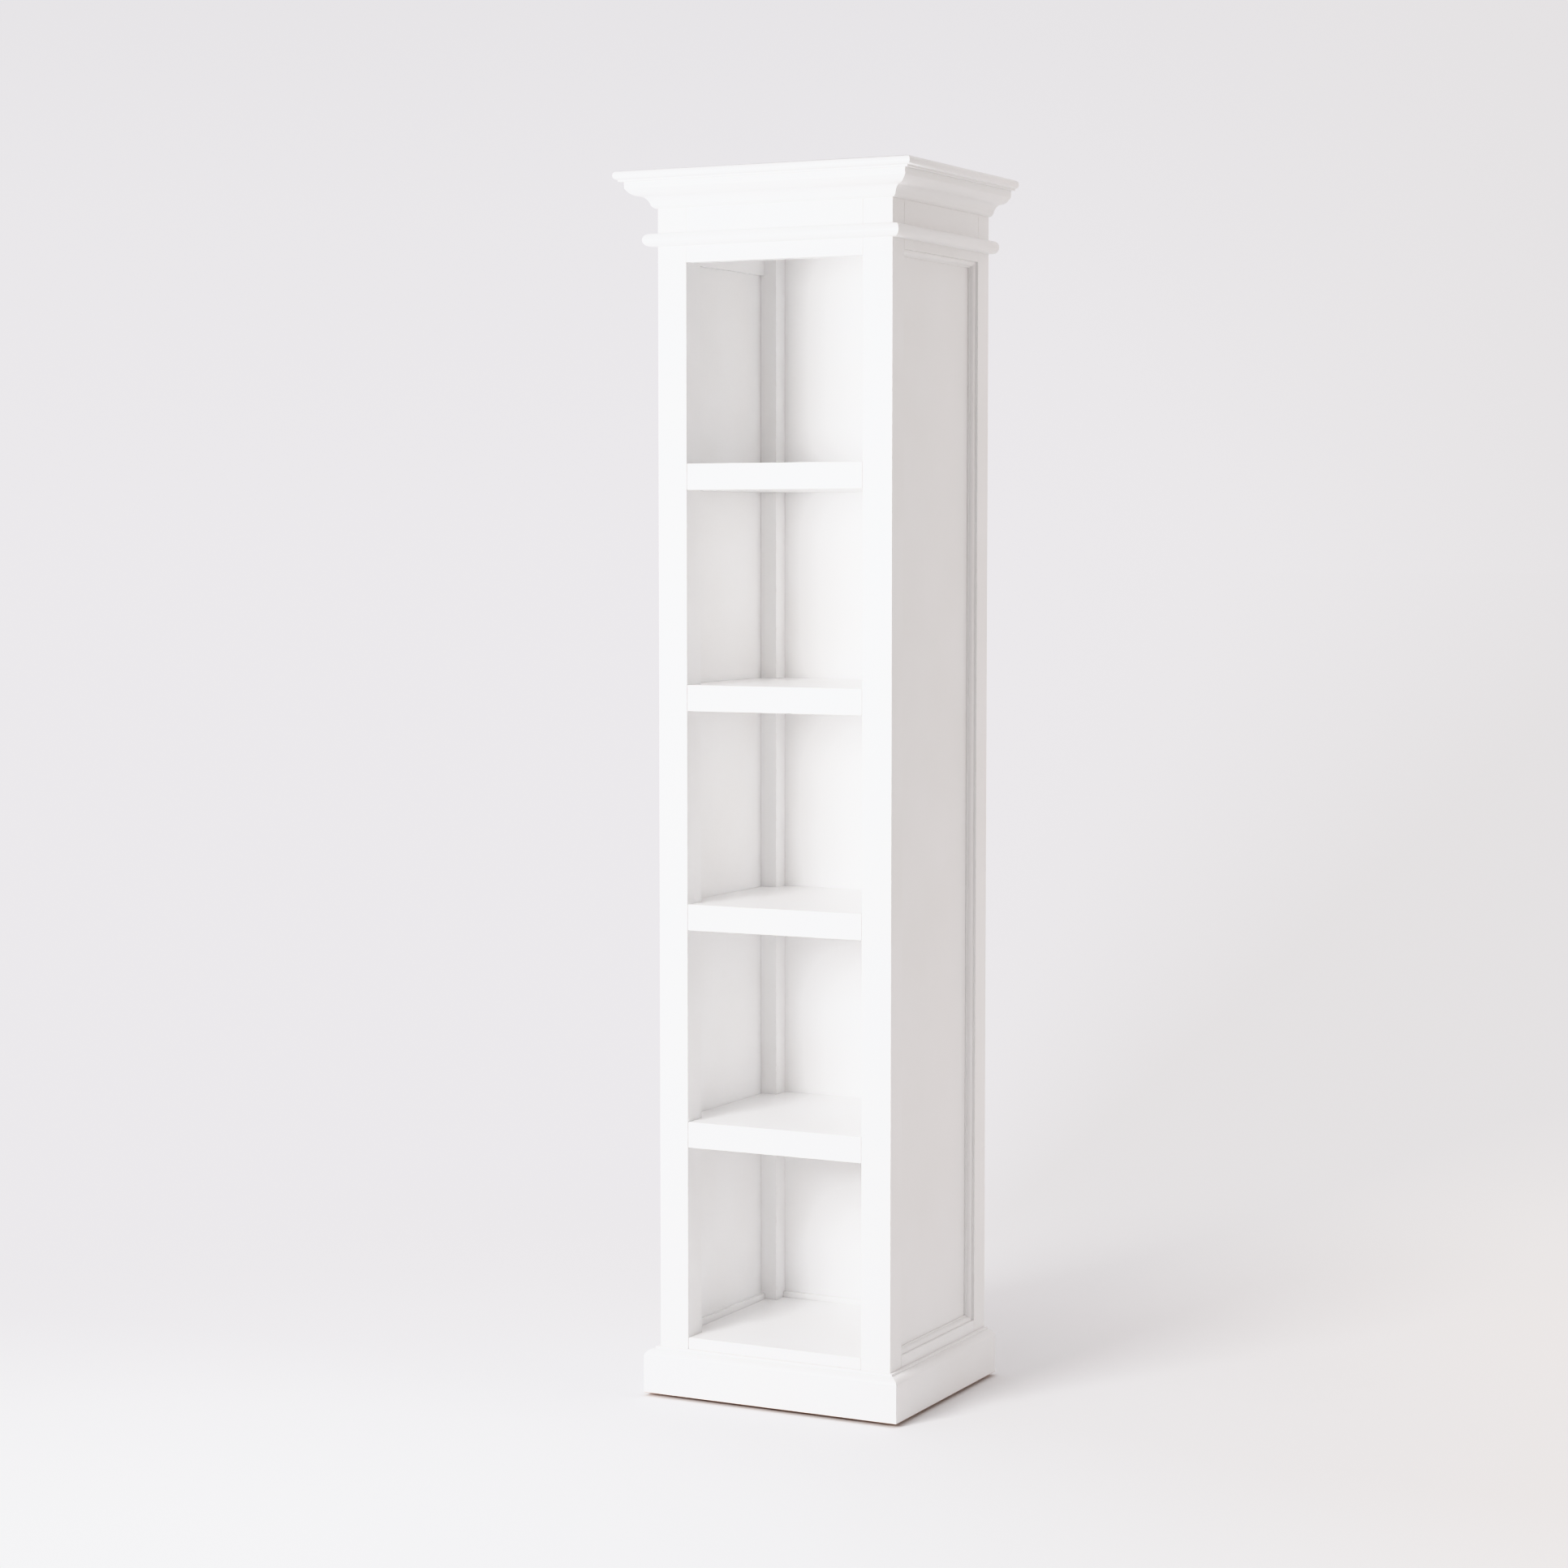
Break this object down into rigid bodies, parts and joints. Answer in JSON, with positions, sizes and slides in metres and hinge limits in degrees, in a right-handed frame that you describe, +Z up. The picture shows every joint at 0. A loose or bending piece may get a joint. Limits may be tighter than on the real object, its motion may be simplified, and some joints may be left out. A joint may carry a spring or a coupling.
{
  "type": "open bookcase",
  "caption": "Tall narrow painted wood bookcase with framed side panels, fixed open shelves, a stepped crown, a half-round band under it and a plinth base.",
  "frame": {"origin": "on the floor, under the centre of the overall box (the top board's outline)", "axes": "+Z up, -Y the open front, +X to the right seen from the front"},
  "size_m": [0.5, 0.405, 1.9],
  "materials": {
    "painted_frame": "satin white paint on wood, brushed along the grain",
    "painted_panel": "satin white paint on flat panel, rolled",
    "painted_moulding": "satin white paint on moulded wood",
    "painted_board": "satin white paint on wood, sanded between coats",
    "raw_wood": "unfinished reddish hardwood",
    "fixing_steel": "bright wire",
    "glide_plastic": "matt brown moulded plastic"
  },
  "bodies": {
    "root": {"astragal_front": "painted_moulding", "astragal_left": "painted_moulding", "astragal_right": "painted_moulding", "back_bead_bottom": "painted_moulding", "back_bead_left": "painted_moulding", "back_bead_right": "painted_moulding", "back_bead_top": "painted_moulding", "back_panel": "painted_panel", "bead_pins": "fixing_steel", "cleat_screws": "fixing_steel", "crown_front": "painted_moulding", "crown_left": "painted_moulding", "crown_right": "painted_moulding", "floor_board": "painted_board", "floor_cleat_left": "raw_wood", "floor_cleat_right": "raw_wood", "glide_front_left": "glide_plastic", "glide_front_right": "glide_plastic", "glide_nails": "fixing_steel", "glide_rear_left": "glide_plastic", "glide_rear_right": "glide_plastic", "moulding_pins": "fixing_steel", "plinth_front": "painted_moulding", "plinth_left": "painted_moulding", "plinth_right": "painted_moulding", "post_front_left": "painted_frame", "post_front_right": "painted_frame", "post_rear_left": "painted_frame", "post_rear_right": "painted_frame", "rail_back_bottom": "painted_frame", "rail_back_top": "painted_frame", "rail_front_bottom": "painted_frame", "rail_front_top": "painted_frame", "rail_side_bottom_left": "painted_frame", "rail_side_bottom_right": "painted_frame", "rail_side_top_left": "painted_frame", "rail_side_top_right": "painted_frame", "shelf_1": "painted_board", "shelf_2": "painted_board", "shelf_3": "painted_board", "shelf_4": "painted_board", "shelf_dowels": "raw_wood", "shelf_lip_1": "painted_board", "shelf_lip_2": "painted_board", "shelf_lip_3": "painted_board", "shelf_lip_4": "painted_board", "side_bead_bottom_left": "painted_moulding", "side_bead_bottom_right": "painted_moulding", "side_bead_front_left": "painted_moulding", "side_bead_front_right": "painted_moulding", "side_bead_rear_left": "painted_moulding", "side_bead_rear_right": "painted_moulding", "side_bead_top_left": "painted_moulding", "side_bead_top_right": "painted_moulding", "side_panel_left": "painted_panel", "side_panel_right": "painted_panel", "top_board": "painted_board", "top_dowels": "raw_wood"}
  },
  "joints": []
}
